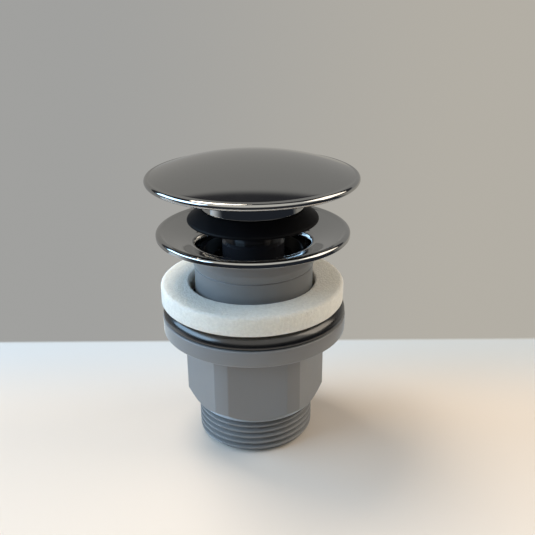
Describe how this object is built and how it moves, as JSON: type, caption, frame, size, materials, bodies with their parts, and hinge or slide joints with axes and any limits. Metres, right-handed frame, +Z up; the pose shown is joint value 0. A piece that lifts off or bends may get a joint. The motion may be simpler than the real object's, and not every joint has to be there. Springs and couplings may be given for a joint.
{
  "type": "pop up basin waste",
  "caption": "Push-to-close basin waste: domed cap with seal over a dished flange, screwed clamp body with foam and rubber washers, hexagon and threaded outlet.",
  "frame": {"origin": "centre of the outlet's end face, on the axis", "axes": "+Z up along the axis, from the outlet to the cap; -Y is the side seen in the picture"},
  "size_m": [0.072, 0.072, 0.1034],
  "materials": {
    "grey_plastic": "satin moulded",
    "chrome": "polished",
    "rubber": "smooth",
    "black_plastic": "smooth",
    "foam": "closed-cell foam",
    "steel": "plain",
    "fibre": "pressed fibre",
    "acetal": "moulded"
  },
  "bodies": {
    "inlet": {"inlet_tube": "grey_plastic", "flange": "chrome", "flange_gasket": "rubber", "spider": "black_plastic", "cartridge_washer": "fibre", "cartridge_nut": "steel", "cartridge_barrel": "black_plastic", "barrel_cap": "black_plastic", "stem_o_ring": "rubber", "guide_pins": "steel", "end_plug": "black_plastic", "return_spring": "steel"},
    "washers": {"rubber_gasket": "rubber", "foam_washer": "foam"},
    "outlet": {"outlet_body": "grey_plastic"},
    "plug": {"stem": "steel", "thrust_washer": "steel", "retaining_clip": "steel", "seal_retainer": "black_plastic", "plug_seal": "rubber", "plug_skirt": "chrome", "stem_lock_nut": "steel", "plug_cap": "chrome"},
    "sleeve": {"index_sleeve": "acetal"}
  },
  "joints": [
    {"name": "plug_press", "type": "slide", "parent": "inlet", "child": "plug", "axis": [0, 0, 1], "range_m": [-0.0069, 0], "stiffness_N_per_m": 800, "springref_m": 0.012, "deforming": ["return_spring"]},
    {"name": "sleeve_index", "type": "hinge", "parent": "plug", "child": "sleeve", "pos_m": [0, 0, 0.062], "axis": [0, 0, 1], "range_deg": [-0.5, 60.5]},
    {"name": "clamp_travel", "type": "slide", "parent": "inlet", "child": "washers", "axis": [0, 0, 1], "range_m": [-0.0051, 0.0131]},
    {"name": "clamp_turn", "type": "hinge", "parent": "washers", "child": "outlet", "pos_m": [0, 0, 0.02], "axis": [0, 0, 1], "range_deg": [-600, 1560]}
  ],
  "couplings": [
    {"joint": "sleeve_index", "follows": "plug_press", "rad_per_m": -151.77},
    {"joint": "clamp_travel", "follows": "clamp_turn", "m_per_rad": 0.00047746}
  ]
}
